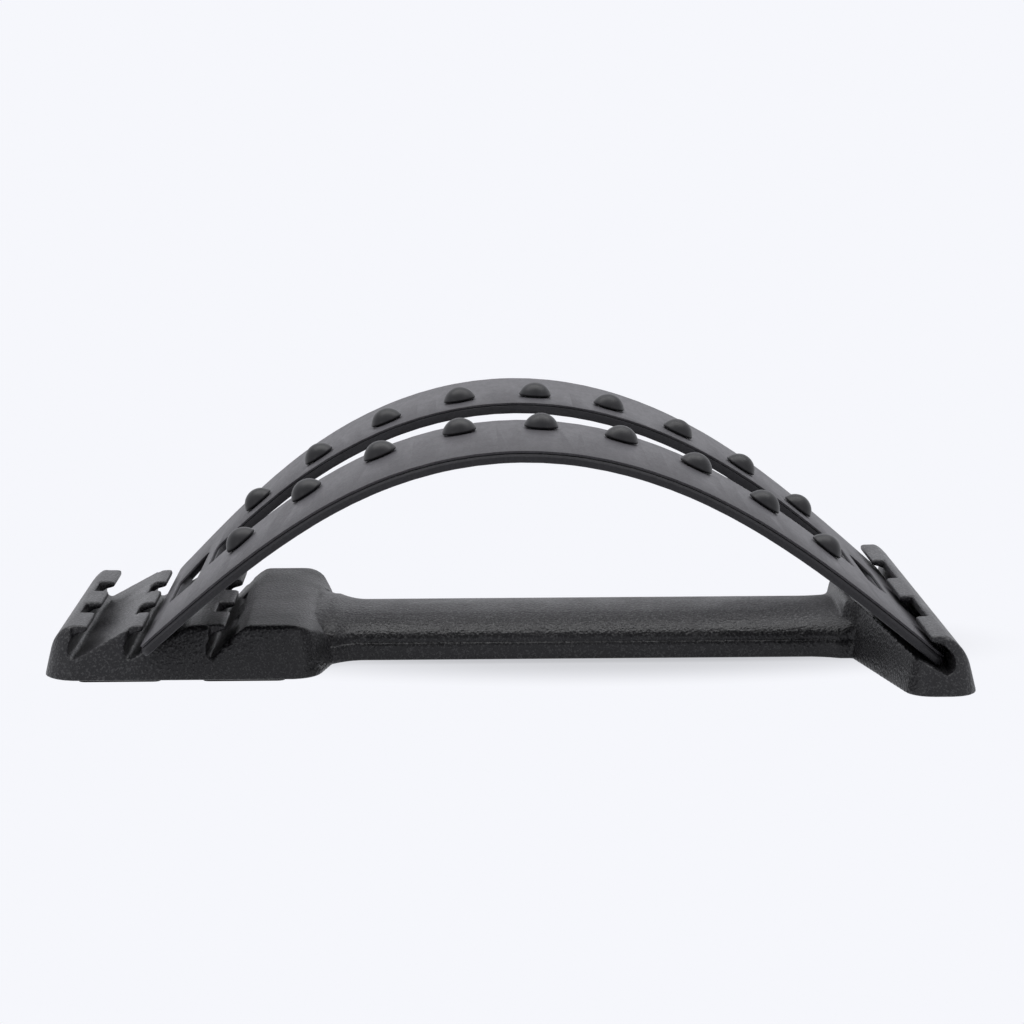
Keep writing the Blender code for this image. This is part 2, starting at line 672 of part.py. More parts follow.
class ArchCurve:
    """The underside of the bent board in side view.

    A springy strip held at both ends bends most in its middle, so its curvature
    follows a sharpened sine of the distance along it, with a slight lean to one
    side. The length comes out of the two ends' places and the rise between them.
    """

    def __init__(self, rise, start, end, lean):
        self.count = 240
        chord = math.dist(start, end)
        low, high = 0.2, 5.0
        for _ in range(60):
            peak = (low + high) / 2
            self.length = 1.0
            self.trace(peak, 0.0, (0.0, 0.0), lean)
            unit_chord, unit_rise = self.chord_and_rise()
            if unit_rise / unit_chord < rise / chord:
                low = peak
            else:
                high = peak
        raw = math.atan2(self.points[-1][1], self.points[-1][0])
        aim = math.atan2(end[1] - start[1], end[0] - start[0])
        self.length = chord / unit_chord
        self.trace(peak / self.length, aim - raw, start, lean)

    def chord_and_rise(self):
        """Distance between the two ends, and how far the curve stands off that line."""
        first = Vector(self.points[0])
        across = Vector(self.points[-1]) - first
        chord = across.length
        rise = 0.0
        for point in self.points:
            rise = max(rise, abs(across.cross(Vector(point) - first)) / chord)
        return chord, rise

    def trace(self, peak, angle, start, lean):
        self.step = self.length / self.count
        self.points = [start]
        self.angles = [angle]
        x, z = start
        for k in range(self.count):
            share = (k + 0.5) / self.count
            bend = math.sin(math.pi * share) ** ARCH_FOCUS
            bend = peak * (bend + lean * math.sin(2 * math.pi * share))
            half = angle - bend * self.step / 2
            x += math.cos(half) * self.step
            z += math.sin(half) * self.step
            angle -= bend * self.step
            self.points.append((x, z))
            self.angles.append(angle)

    def at(self, along, height=0.0):
        """Place and slope at a distance along the underside, a height over it."""
        place = min(max(along / self.step, 0.0), self.count - 1e-6)
        k = int(place)
        share = place - k
        x = self.points[k][0] + (self.points[k + 1][0] - self.points[k][0]) * share
        z = self.points[k][1] + (self.points[k + 1][1] - self.points[k][1]) * share
        angle = self.angles[k] + (self.angles[k + 1] - self.angles[k]) * share
        beyond = along - min(max(along, 0.0), self.length)
        x += beyond * math.cos(angle) - height * math.sin(angle)
        z += beyond * math.sin(angle) + height * math.cos(angle)
        return x, z, angle


def total_thickness():
    return BOARD_THICKNESS + SEAT_GAP + FACING_THICKNESS


def seat_arch():
    """Rest the board's two lower edges on the ramps, just clear of the tabs."""
    thickness = total_thickness()
    left_angle = math.radians(45.0)
    right_angle = math.radians(-42.0)
    for _ in range(8):
        tip = block_tips()[1]
        left_x = tip + HOOK_CLEARANCE + thickness * math.sin(left_angle)
        left_z = ramp_height(left_x, block_ramp_start(tip), 1) + SEAT_GAP
        wall = foot_tip() + FOOT_POCKET_DEPTH
        lug = FOOT_LUG_LENGTH * math.cos(right_angle)
        right_x = wall - SEAT_GAP * 2 - lug + thickness * math.sin(right_angle)
        right_z = ramp_height(right_x, foot_ramp_start(), -1) + SEAT_GAP
        curve = ArchCurve(ARCH_RISE, (left_x, left_z), (right_x, right_z), ARCH_LEAN)
        left_angle = curve.angles[0]
        right_angle = curve.angles[-1]
    return curve


def half_width(along, length):
    """Half the board's width: full in the middle, drawn in towards both ends."""
    full = BOARD_WIDTH / 2
    left = along < length / 2
    end = (BOARD_LEFT_END_WIDTH if left else BOARD_RIGHT_END_WIDTH) / 2
    from_end = along if left else length - along
    taper = min(max(from_end / BOARD_TAPER_LENGTH, 0.0), 1.0)
    return end + (full - end) * math.sin(taper * math.pi / 2)


def end_points(inset, lug_middle, lug_half, lug_length, end_width):
    """One end of the board, from its middle out to its side, as (from end, across)."""
    points = []
    if lug_half > 0:
        slope = BLOCK_LUG_LENGTH
        points.append((inset, lug_middle - lug_half - slope))
        points.append((inset - lug_length, lug_middle - lug_half))
        points.append((inset - lug_length, lug_middle + lug_half))
        points.append((inset, lug_middle + lug_half + slope))
    radius = BOARD_END_RADIUS
    side = end_width - inset
    steps = 6
    for k in range(steps + 1):
        angle = math.radians(90.0) * k / steps
        points.append((inset + radius * (1 - math.cos(angle)), side - radius * (1 - math.sin(angle))))
    return points


def board_outline(length, inset, lugs):
    """Flat outline of a board layer, as (along, across)."""
    middle = (BLOCK_MIDDLE_TAB + BLOCK_NOTCH_WIDTH) / 2
    half = BLOCK_NOTCH_WIDTH / 2 - LUG_CLEARANCE if lugs else 0.0
    side = half_width(BOARD_END_RADIUS, length)
    upper = end_points(inset, middle, half, BLOCK_LUG_LENGTH, side)
    steps = 28
    first = BOARD_END_RADIUS + inset
    for k in range(1, steps):
        along = first + (length - 2 * first) * k / steps
        upper.append((along, half_width(along, length) - inset))
    middle = (FOOT_MIDDLE_TAB + FOOT_NOTCH_WIDTH) / 2
    half = FOOT_NOTCH_WIDTH / 2 - LUG_CLEARANCE if lugs else 0.0
    side = half_width(length - BOARD_END_RADIUS, length)
    foot_end = end_points(inset, middle, half, FOOT_LUG_LENGTH, side)
    upper += [(length - a, y) for a, y in reversed(foot_end)]
    lower = [(a, -y) for a, y in reversed(upper)]
    return lower + upper


def slot_outline(length, grow):
    """The long slot between the two rails."""
    start = LEFT_WINDOW_START + LEFT_WINDOW_LENGTH + BRIDGE_WIDTH
    end = length - RIGHT_WINDOW_START - RIGHT_WINDOW_LENGTH - BRIDGE_WIDTH
    wide = SLOT_WIDTH / 2
    narrow = SLOT_END_WIDTH / 2
    corner = OPENING_CORNER_RADIUS
    bend_radius = SLOT_SIDE_RADIUS
    corners = [
        (start, -narrow, corner), (start + SLOT_END_TAPER, -wide, bend_radius),
        (end - SLOT_END_TAPER, -wide, bend_radius), (end, -narrow, corner),
        (end, narrow, corner), (end - SLOT_END_TAPER, wide, bend_radius),
        (start + SLOT_END_TAPER, wide, bend_radius), (start, narrow, corner),
    ]
    return rounded(corners, inset=-grow, steps=3)


def window_outline(length, grow, relief, mirrored):
    """The small see-through window between a bridge and the board's end."""
    outer = WINDOW_OUTER_WIDTH / 2 + relief
    inner = WINDOW_INNER_WIDTH / 2 + relief
    near = RIGHT_WINDOW_START if mirrored else LEFT_WINDOW_START
    far = near + (RIGHT_WINDOW_LENGTH if mirrored else LEFT_WINDOW_LENGTH)
    corner = OPENING_CORNER_RADIUS
    corners = [(near, -outer, corner), (far, -inner, corner), (far, inner, corner), (near, outer, corner)]
    points = rounded(corners, inset=-grow, steps=3)
    if mirrored:
        points = [Vector((length - p.x, p.y)) for p in reversed(points)]
    return points


def nub_places():
    """Each nub's number and its distance along the board."""
    places = []
    along = NUB_FIRST
    for k in range(NUB_COUNT):
        places.append((k + 1, along))
        along += NUB_PITCH + NUB_PITCH_CLOSING * (0.5 - k / (NUB_COUNT - 2))
    return places


def disc_outline(x, y, radius, sides=NUB_SIDES):
    turn = 2 * math.pi / sides
    return [(x + radius * math.cos(turn * k), y + radius * math.sin(turn * k)) for k in range(sides)]


def bend(thing, curve):
    """Cut a flat layer into narrow strips and wrap it round the arch's curve."""
    mesh = bmesh.new()
    mesh.from_mesh(thing.data)
    cuts = round(curve.length / BEND_STEP)
    for k in range(1, cuts):
        along = curve.length * k / cuts
        geometry = mesh.verts[:] + mesh.edges[:] + mesh.faces[:]
        bmesh.ops.bisect_plane(
            mesh, geom=geometry, dist=1e-6, plane_co=(along, 0, 0), plane_no=(1, 0, 0)
        )
    for vertex in mesh.verts:
        x, z, _ = curve.at(vertex.co.x, vertex.co.z)
        vertex.co.x = x
        vertex.co.z = z
    bmesh.ops.triangulate(mesh, faces=mesh.faces)
    bmesh.ops.recalc_face_normals(mesh, faces=mesh.faces)
    mesh.to_mesh(thing.data)
    mesh.free()


def make_layer(name, finish, curve, low, high, inset, relief, lugs, edges):
    """One layer of the board: cut flat, then bent to the arch."""
    length = curve.length
    flat = prism(board_outline(length, inset, lugs), low, high, "Z")
    for height, edge in edges:
        rim = [e for e in flat.edges if all(abs(v.co.z - height) < 1e-7 for v in e.verts)]
        bmesh.ops.bevel(
            flat, geom=rim, offset=edge, segments=1, profile=0.5, affect="EDGES",
            material=-1, clamp_overlap=True
        )
    layer = add_object(name, flat, finish)
    openings = bmesh.new()
    below, above = low - 2 * MM, high + 2 * MM
    merge_into(openings, prism(slot_outline(length, inset), below, above, "Z"))
    for mirrored in (False, True):
        window = window_outline(length, inset, relief, mirrored)
        merge_into(openings, prism(window, below, above, "Z"))
    hole = (NUB_STEM_DIAMETER / 2 + SEAT_GAP) / math.cos(math.pi / HOLE_SIDES)
    for _, along in nub_places():
        for side in (1, -1):
            across = side * NUB_ROW_SPACING / 2
            merge_into(openings, prism(disc_outline(along, across, hole, HOLE_SIDES), below, above, "Z"))
    combine(layer, add_object("openings", openings), "DIFFERENCE")
    bend(layer, curve)
    smooth_round_faces(layer)
    return layer


def nub_profile():
    """Half section of a nub as (radius, height over the facing), from its top down."""
    radius = NUB_DIAMETER / 2
    points = []
    steps = 4
    last = NUB_RIM_SLOPE
    for k in range(1, steps + 1):
        angle = last * k / steps
        share = (math.cos(angle) - math.cos(last)) / (1 - math.cos(last))
        across = radius * math.sin(angle) / math.sin(last)
        points.append((across, NUB_RIM + (NUB_HEIGHT - NUB_RIM) * share))
    base = SEAT_GAP * 1.2
    points.append((radius - 0.15 * MM, base))
    stem = NUB_STEM_DIAMETER / 2
    points.append((stem, base))
    under = -total_thickness() - SEAT_GAP * 1.2
    points.append((stem, under))
    head = NUB_HEAD_DIAMETER / 2
    points.append((head, under))
    points.append((head - 0.8 * MM, under - NUB_HEAD_THICKNESS))
    return points


def make_nubs(finish, curve):
    """Rubber nubs pushed through both layers, nine to a rail."""
    made = bmesh.new()
    profile = nub_profile()
    rings = []
    for radius, height in profile:
        ring = [made.verts.new((x, y, height)) for x, y in disc_outline(0, 0, radius)]
        rings.append(ring)
    top = made.verts.new((0, 0, NUB_HEIGHT))
    for i in range(NUB_SIDES):
        j = (i + 1) % NUB_SIDES
        made.faces.new((rings[0][i], rings[0][j], top))
        for upper, lower in zip(rings, rings[1:]):
            made.faces.new((upper[i], lower[i], lower[j], upper[j]))
    made.faces.new(list(reversed(rings[-1])))
    shared = add_object("nub_front_1", made, finish)
    smooth_round_faces(shared, 50.0)
    across = NUB_ROW_SPACING / 2
    for number, along in nub_places():
        x, z, angle = curve.at(along, total_thickness())
        for side, row in ((-1, "front"), (1, "rear")):
            name = f"nub_{row}_{number}"
            nub = shared
            if name != "nub_front_1":
                nub = bpy.data.objects.new(name, shared.data)
                bpy.context.collection.objects.link(nub)
            nub.location = (x, side * across, z)
            nub.rotation_euler = (0.0, -angle, 0.0)


def build():
    for thing in list(bpy.data.objects):
        bpy.data.objects.remove(thing)
    plastic = material("base_plastic", (0.030, 0.030, 0.031), 0.62)
    board = material("board_plastic", (0.052, 0.051, 0.056), 0.55)
    facing = material("facing_plastic", (0.075, 0.073, 0.080), 0.60)
    nub = material("nub_rubber", (0.022, 0.021, 0.023), 0.48)
    pad = material("pad_rubber", (0.02, 0.02, 0.02), 0.85)
    make_base(plastic)
    make_pads(pad)
    curve = seat_arch()
    thickness = BOARD_THICKNESS
    rims = [(0.0, BOARD_LOWER_EDGE), (thickness, BOARD_TOP_EDGE)]
    make_layer("arch_board", board, curve, 0.0, thickness, 0.0, WINDOW_RELIEF, True, rims)
    low = thickness + SEAT_GAP
    high = low + FACING_THICKNESS
    make_layer("arch_facing", facing, curve, low, high, FACING_INSET, 0.0, False, [])
    make_nubs(nub, curve)
    x, z, _ = curve.at(curve.length, total_thickness() / 2)
    pivot = bpy.data.objects.new("arch_pivot", None)
    bpy.context.collection.objects.link(pivot)
    pivot.location = (x, 0.0, z)
    bpy.context.view_layer.update()
    for thing in list(bpy.data.objects):
        if thing.name.startswith(("arch_board", "arch_facing", "nub_")):
            thing.parent = pivot
            thing.matrix_parent_inverse = pivot.matrix_world.inverted()


build()
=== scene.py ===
"""The looks of a back stretcher: a bent two-layer board with rubber nubs on a racked base.

Metres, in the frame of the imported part: X along the base from the three-step rack to the
foot, Y to the rear, Z up, with the floor at zero.
"""

import math

import bmesh
import bpy
from mathutils import Matrix, Vector


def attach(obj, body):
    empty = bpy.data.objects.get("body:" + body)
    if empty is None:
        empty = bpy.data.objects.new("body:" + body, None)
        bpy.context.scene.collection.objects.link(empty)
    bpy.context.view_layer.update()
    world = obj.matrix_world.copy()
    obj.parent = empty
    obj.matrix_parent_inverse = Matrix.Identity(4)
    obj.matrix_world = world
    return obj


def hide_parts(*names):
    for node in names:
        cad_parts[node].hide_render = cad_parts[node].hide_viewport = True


MM = 0.001

# Camera, as the photograph was taken
CAMERA_PLACE = (-0.0150, -1.2590, 0.2667)
CAMERA_TURN = math.radians(-0.92)
CAMERA_TILT = math.radians(80.63)
CAMERA_ROLL = math.radians(-0.26)
CAMERA_LENS = 103.1

# Softened base
GRAIN_OF_MESH = 0.8 * MM
SOFTENING_ROUNDS = 4
KEPT_SHARE_OF_FACES = 0.32

# Bar, its crown brought nearer to the photograph
BAR_START = -80.0 * MM         # where the rounding begins, inside the block
BAR_END = 151.0 * MM           # where it ends, inside the foot
BAR_EASE = 8.0 * MM            # length over which it fades in and out
BAR_AT_BLOCK = -71.0 * MM      # where the bar's flare meets the block
BAR_AT_FOOT = 143.5 * MM       # where it meets the foot
BAR_LIP = 8.2 * MM             # height of the lip that the crown rises from
BAR_CROWN = 10.4 * MM          # rise of the crown over the lip
BAR_CROWN_HALF = 34.6 * MM
BAR_BLOCK_FLARE = 7.0 * MM
BAR_FOOT_FLARE = 3.5 * MM
BAR_BLOCK_RISE = 2.2 * MM
BAR_FLARE_LENGTH = 12.0 * MM
BAR_POWER_MOULDED = 3.8        # of the crown in the CAD
BAR_POWER_SEEN = 2.2           # of the crown in the photograph
BAR_WIDEST_SHARE = 0.985       # keeps the crown's curve off its own foot
BAR_HOLD = 0.3 * MM            # over the crown, still moved in full
BAR_LET_GO = 1.5 * MM          # over the crown, no longer moved

# Nubs
NUB_STEPS = 40
NUB_WAIST = 0.9 * MM     # height of the widest ring over the board
NUB_TUCK = 0.45 * MM      # how far it narrows again below that ring
NUB_CROWN_ANGLE = 66.0    # from the crown to the widest ring, in degrees
NUB_CAP_STEPS = 16
NUB_TUCK_STEPS = 8
NUB_STEM = 4.0 * MM       # radius in the board's hole
NUB_HEAD = 5.3 * MM       # radius of the snap-in head under the board

# Background and light
BACKGROUND = (0.922, 0.930, 0.973)
WORLD_STRENGTH = 0.16
FLOOR_COLOUR = (0.58, 0.585, 0.60)
FLOOR_NEAR = 0.12       # from the middle, lengthwise, where the floor starts to fade
FLOOR_REACH = 0.30      # where it has faded into the background
FLOOR_ACROSS = 3.4      # how much sooner it fades to the front
FLOOR_ALONG = 1.5       # and along the object
FLOOR_SHIFT = -0.06     # moves the fade's middle along the object
FLOOR_GLOW_NEAR = 0.58  # share of the plain background colour under the object


# Material building

class Finish:
    """A Principled material with short calls for its texture nodes."""

    def __init__(self, name, colour, roughness, specular=0.5):
        self.material = bpy.data.materials.new(name)
        self.material.use_nodes = True
        self.tree = self.material.node_tree
        self.shader = self.tree.nodes["Principled BSDF"]
        self.shader.inputs["Base Color"].default_value = (*colour, 1.0)
        self.shader.inputs["Roughness"].default_value = roughness
        self.shader.inputs["Specular IOR Level"].default_value = specular
        self.place = self.tree.nodes.new("ShaderNodeTexCoord").outputs["Object"]

    def link(self, source, target):
        self.tree.links.new(source, target)

    def noise(self, per_metre, detail=3.0, rough=0.55, stretch=(1, 1, 1)):
        node = self.tree.nodes.new("ShaderNodeTexNoise")
        node.inputs["Scale"].default_value = per_metre
        node.inputs["Detail"].default_value = detail
        node.inputs["Roughness"].default_value = rough
        mapping = self.tree.nodes.new("ShaderNodeMapping")
        mapping.inputs["Scale"].default_value = stretch
        self.link(self.place, mapping.inputs["Vector"])
        self.link(mapping.outputs["Vector"], node.inputs["Vector"])
        return node.outputs["Fac"]

    def pebbles(self, per_metre):
        node = self.tree.nodes.new("ShaderNodeTexVoronoi")
        node.feature = "SMOOTH_F1"
        node.inputs["Scale"].default_value = per_metre
        node.inputs["Smoothness"].default_value = 0.6
        self.link(self.place, node.inputs["Vector"])
        return node.outputs["Distance"]

    def attribute(self, name):
        node = self.tree.nodes.new("ShaderNodeAttribute")
        node.attribute_name = name
        return node.outputs["Fac"]

    def spread(self, source, low, high, out_low, out_high):
        node = self.tree.nodes.new("ShaderNodeMapRange")
        node.inputs["From Min"].default_value = low
        node.inputs["From Max"].default_value = high
        node.inputs["To Min"].default_value = out_low
        node.inputs["To Max"].default_value = out_high
        self.link(source, node.inputs["Value"])
        return node.outputs["Result"]

    def math(self, operation, first, second):
        node = self.tree.nodes.new("ShaderNodeMath")
        node.operation = operation
        for socket, value in zip(node.inputs, (first, second)):
            if isinstance(value, float):
                socket.default_value = value
            else:
                self.link(value, socket)
        return node.outputs["Value"]

    def mix(self, share, first, second):
        node = self.tree.nodes.new("ShaderNodeMix")
        node.data_type = "RGBA"
        for socket, value in ((node.inputs[0], share), (node.inputs[6], first), (node.inputs[7], second)):
            if isinstance(value, float):
                socket.default_value = value
            elif isinstance(value, tuple):
                socket.default_value = (*value, 1.0)
            else:
                self.link(value, socket)
        return node.outputs[2]

    def bump(self, height, depth, strength=1.0, over=None):
        node = self.tree.nodes.new("ShaderNodeBump")
        node.inputs["Strength"].default_value = strength
        node.inputs["Distance"].default_value = depth
        self.link(height, node.inputs["Height"])
        if over is not None:
            self.link(over, node.inputs["Normal"])
        return node.outputs["Normal"]

    def colour_from(self, source):
        self.link(source, self.shader.inputs["Base Color"])

    def roughness_from(self, source):
        self.link(source, self.shader.inputs["Roughness"])

    def normal_from(self, source):
        self.link(source, self.shader.inputs["Normal"])


def spark_plastic():
    """The base: black plastic with a coarse spark texture, paler on its edges: partly rubbed wear, partly a
    painted highlight.
    """
    made = Finish("base_plastic", (0.03, 0.03, 0.031), 0.4, specular=0.34)
    coarse = made.pebbles(760.0)
    fine = made.noise(1050.0, 1.0)
    cloud = made.noise(60.0, 4.0, 0.6)
    scuffs = made.noise(260.0, 3.0, 0.7)
    body = made.mix(made.spread(cloud, 0.35, 0.65, 0.0, 1.0), (0.015, 0.015, 0.017), (0.025, 0.024, 0.027))
    specks = made.mix(made.spread(fine, 0.52, 0.66, 0.0, 0.85), body, (0.110, 0.109, 0.114))
    # Paler on convex edges: partly rubbed wear, partly a painted highlight along the edges.
    edge_wear_and_highlight = made.math("MULTIPLY", made.spread(made.attribute("edge"), 0.10, 0.42, 0.0, 0.75),
                     made.spread(scuffs, 0.38, 0.62, 0.25, 1.0))
    made.colour_from(made.mix(edge_wear_and_highlight, specks, (0.11, 0.11, 0.115)))
    made.roughness_from(made.spread(cloud, 0.3, 0.7, 0.36, 0.46))
    grain = made.bump(coarse, 0.30 * MM, 0.8)
    made.normal_from(made.bump(fine, 0.24 * MM, 0.8, over=grain))
    return made.material


def sheet_plastic(name, dark, light, depth, specks):
    """The board's two layers: fine matte grey plastic with a soft mottle."""
    made = Finish(name, dark, 0.5, specular=0.22)
    cloud = made.noise(70.0, 6.0, 0.68)
    grain = made.noise(1000.0, 2.0, 0.6)
    lines = made.noise(420.0, 2.0, 0.5, stretch=(1.0, 0.25, 1.0))
    body = made.mix(made.spread(cloud, 0.3, 0.7, 0.0, 1.0), dark, light)
    speckled = made.mix(made.spread(grain, 0.35, 0.70, 0.0, specks), body, tuple(c * 1.9 for c in light))
    # Paler on the rims: partly rubbed wear, partly a painted highlight along the edges.
    edge_wear_and_highlight = made.spread(made.attribute("edge"), 0.10, 0.5, 0.0, 0.5)
    made.colour_from(made.mix(edge_wear_and_highlight, speckled, tuple(c * 1.8 for c in light)))
    made.roughness_from(made.spread(lines, 0.3, 0.7, 0.46, 0.52))
    under = made.bump(grain, depth, 0.7)
    made.normal_from(made.bump(lines, depth * 0.6, 0.4, over=under))
    return made.material


def nub_rubber():
    """Satin rubber, near black, slightly clouded."""
    made = Finish("nub_rubber", (0.03, 0.03, 0.032), 0.44, specular=0.30)
    cloud = made.noise(160.0, 3.0)
    grain = made.noise(2600.0, 2.0)
    clouded = made.spread(cloud, 0.35, 0.65, 0.0, 1.0)
    made.colour_from(made.mix(clouded, (0.016, 0.016, 0.018), (0.026, 0.025, 0.028)))
    made.roughness_from(made.spread(cloud, 0.3, 0.7, 0.34, 0.44))
    made.normal_from(made.bump(grain, 0.04 * MM, 0.5))
    return made.material


def pad_rubber():
    """Matte anti-slip rubber with a pebbled skin."""
    made = Finish("pad_rubber", (0.02, 0.02, 0.02), 0.8, specular=0.3)
    pebble = made.pebbles(1400.0)
    cloud = made.noise(120.0, 3.0)
    clouded = made.spread(cloud, 0.35, 0.65, 0.0, 1.0)
    made.colour_from(made.mix(clouded, (0.016, 0.016, 0.016), (0.028, 0.027, 0.026)))
    made.roughness_from(made.spread(cloud, 0.3, 0.7, 0.72, 0.88))
    made.normal_from(made.bump(pebble, 0.15 * MM, 0.8))
    return made.material


# Pieces

def piece_from(name, mesh, finish, body, slot, *nodes):
    """Make an object of a mesh that stands for CAD nodes and rides on their body."""
    mesh.materials.clear()
    mesh.materials.append(finish)
    thing = bpy.data.objects.new(name, mesh)
    bpy.context.scene.collection.objects.link(thing)
    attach(thing, body)
    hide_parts(*nodes)
    return thing


def merged_copy(node):
    """A node's mesh with its loose triangles joined at their corners, as a bmesh."""
    made = bmesh.new()
    made.from_mesh(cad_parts[node].data)
    bmesh.ops.remove_doubles(made, verts=made.verts, dist=0.01 * MM)
    return made


def mesh_with_modifiers(source, steps):
    """Run modifiers over a bmesh and return the resulting mesh."""
    mesh = bpy.data.meshes.new("working")
    source.to_mesh(mesh)
    source.free()
    thing = bpy.data.objects.new("working", mesh)
    bpy.context.scene.collection.objects.link(thing)
    for kind, settings in steps:
        modifier = thing.modifiers.new(kind.lower(), kind)
        for key, value in settings.items():
            setattr(modifier, key, value)
    depsgraph = bpy.context.evaluated_depsgraph_get()
    depsgraph.update()
    result = bpy.data.meshes.new_from_object(thing.evaluated_get(depsgraph))
    bpy.data.objects.remove(thing)
    return result


def mark_edges(mesh):
    """Store how far each point stands out of its surroundings, for the edges' wear and painted highlight."""
    work = bmesh.new()
    work.from_mesh(mesh)
    work.normal_update()
    standing = []
    for vertex in work.verts:
        total = 0.0
        for edge in vertex.link_edges:
            away = vertex.co - edge.other_vert(vertex).co
            total += vertex.normal.dot(away.normalized())
        standing.append(total / max(len(vertex.link_edges), 1))
    work.free()
    layer = mesh.attributes.new("edge", "FLOAT", "POINT")
    layer.data.foreach_set("value", standing)


def smooth_step(value, low, high):
    share = min(max((value - low) / (high - low), 0.0), 1.0)
    return share * share * (3.0 - 2.0 * share)


def round_bar(mesh):
    """Bring the bar's broad crown nearer to a half ellipse, as the photograph's shading shows."""
    for vertex in mesh.vertices:
        x, y, z = vertex.co
        along = smooth_step(x, BAR_START, BAR_START + BAR_EASE)
        along *= smooth_step(-x, -BAR_END, -BAR_END + BAR_EASE)
        at_block = min(max((x - BAR_AT_BLOCK) / BAR_FLARE_LENGTH, 0.0), 1.0)
        at_foot = min(max((BAR_AT_FOOT - x) / BAR_FLARE_LENGTH, 0.0), 1.0)
        half = BAR_CROWN_HALF + BAR_BLOCK_FLARE * (1.0 - at_block) ** 2
        half += BAR_FOOT_FLARE * (1.0 - at_foot) ** 2
        across = min(abs(y) / half, BAR_WIDEST_SHARE)
        if z > BAR_LIP and along > 0.0 and abs(y) < half:
            moulded = (1.0 - across ** BAR_POWER_MOULDED) ** (1.0 / BAR_POWER_MOULDED)
            rounder = (1.0 - across ** BAR_POWER_SEEN) ** (1.0 / BAR_POWER_SEEN)
            crown = BAR_LIP + (BAR_CROWN + BAR_BLOCK_RISE * (1.0 - at_block) ** 2) * moulded
            along *= 1.0 - smooth_step(z, crown + BAR_HOLD, crown + BAR_LET_GO)
            vertex.co.z = BAR_LIP + (z - BAR_LIP) * (1.0 + along * (rounder / moulded - 1.0))


def soften_base(finish):
    """The base moulding with the small radii that a real moulding has on every edge."""
    mesh = mesh_with_modifiers(merged_copy("base_moulding"), [
        ("REMESH", {"mode": "VOXEL", "voxel_size": GRAIN_OF_MESH, "use_smooth_shade": True}),
        ("SMOOTH", {"factor": 0.5, "iterations": SOFTENING_ROUNDS}),
        ("DECIMATE", {"ratio": KEPT_SHARE_OF_FACES}),
    ])
    round_bar(mesh)
    mesh.shade_smooth()
    mark_edges(mesh)
    return piece_from("base_softened", mesh, finish, "base", "base_plastic", "base_moulding")


def soften_layer(node, width, finish, slot):
    """A layer of the board with its rims rounded over."""
    work = merged_copy(node)
    bmesh.ops.dissolve_limit(work, angle_limit=math.radians(0.6), verts=work.verts, edges=work.edges)
    mesh = mesh_with_modifiers(work, [
        ("BEVEL", {"width": width, "segments": 2, "limit_method": "ANGLE", "angle_limit": math.radians(40.0),
                   "use_clamp_overlap": True}),
    ])
    mesh.shade_smooth()
    mesh.set_sharp_from_angle(angle=math.radians(50.0))
    mark_edges(mesh)
    return piece_from(node + "_finished", mesh, finish, "arch", slot, node)


def nub_section(radius, crown, rim_foot, under, head_foot):
    """Half section of a nub as (radius, height over the rim's upper edge), from its crown down."""
    points = []
    widest = rim_foot + NUB_WAIST
    last = math.radians(NUB_CROWN_ANGLE)
    for k in range(NUB_CAP_STEPS + 1):
        angle = last * k / NUB_CAP_STEPS
        share = (math.cos(angle) - math.cos(last)) / (1 - math.cos(last))
        points.append((radius * math.sin(angle) / math.sin(last), widest + (crown - widest) * share))
    for k in range(1, NUB_TUCK_STEPS + 1):
        angle = math.radians(90.0) * k / NUB_TUCK_STEPS
        points.append((radius - NUB_TUCK * (1 - math.cos(angle)), widest - NUB_WAIST * math.sin(angle)))
    points += [(NUB_STEM, rim_foot), (NUB_STEM, under)]
    points += [(NUB_HEAD - 0.2 * MM, under), (NUB_HEAD, under - 0.2 * MM)]
    points += [(NUB_HEAD - 0.6 * MM, head_foot + 0.25 * MM), (NUB_HEAD - 0.95 * MM, head_foot)]
    points.append((0.0, head_foot))
    return points


def turn_nub(node, finish):
    """A nub turned finely: a low dome with a thin rounded rim, on its stem and snap-in head."""
    source = merged_copy(node)
    places = [v.co.copy() for v in source.verts]
    source.free()
    front = min(places, key=lambda p: p.y)
    rear = max(places, key=lambda p: p.y)
    middle = (front + rear) / 2
    radius = (rear - front).length / 2
    on_rim = [p for p in places
              if abs((p - middle).length - radius) < 0.02 * MM and abs(p.y - middle.y) < radius / 2]
    axis = (on_rim[0] - middle).cross(rear - front).normalized()
    if axis.z < 0:
        axis.negate()
    heights = sorted({round((p - middle).dot(axis) / MM, 3) for p in places})
    crown = heights[-1] * MM
    rim_foot = max(h for h in heights if h < -0.1) * MM
    head_foot = heights[0] * MM
    under = heights[1] * MM
    work = bmesh.new()
    outline = nub_section(radius, crown, rim_foot, under, head_foot)
    section = [work.verts.new((r, 0.0, h)) for r, h in outline]
    edges = [work.edges.new(pair) for pair in zip(section, section[1:])]
    bmesh.ops.spin(work, geom=section + edges, cent=(0, 0, 0), axis=(0, 0, 1), dvec=(0, 0, 0),
                   angle=math.tau, steps=NUB_STEPS, use_merge=True, use_normal_flip=False,
                   use_duplicate=False)
    bmesh.ops.remove_doubles(work, verts=work.verts, dist=0.01 * MM)
    bmesh.ops.recalc_face_normals(work, faces=work.faces)
    turn = axis.to_track_quat("Z", "Y").to_matrix().to_4x4()
    bmesh.ops.transform(work, matrix=Matrix.Translation(middle) @ turn, verts=work.verts)
    mesh = bpy.data.meshes.new(node + "_turned")
    work.to_mesh(mesh)
    work.free()
    mesh.shade_smooth()
    mesh.set_sharp_from_angle(angle=math.radians(60.0))
    mark_edges(mesh)
    return piece_from(node + "_turned", mesh, finish, "arch", "nub_rubber", node)


# Stage

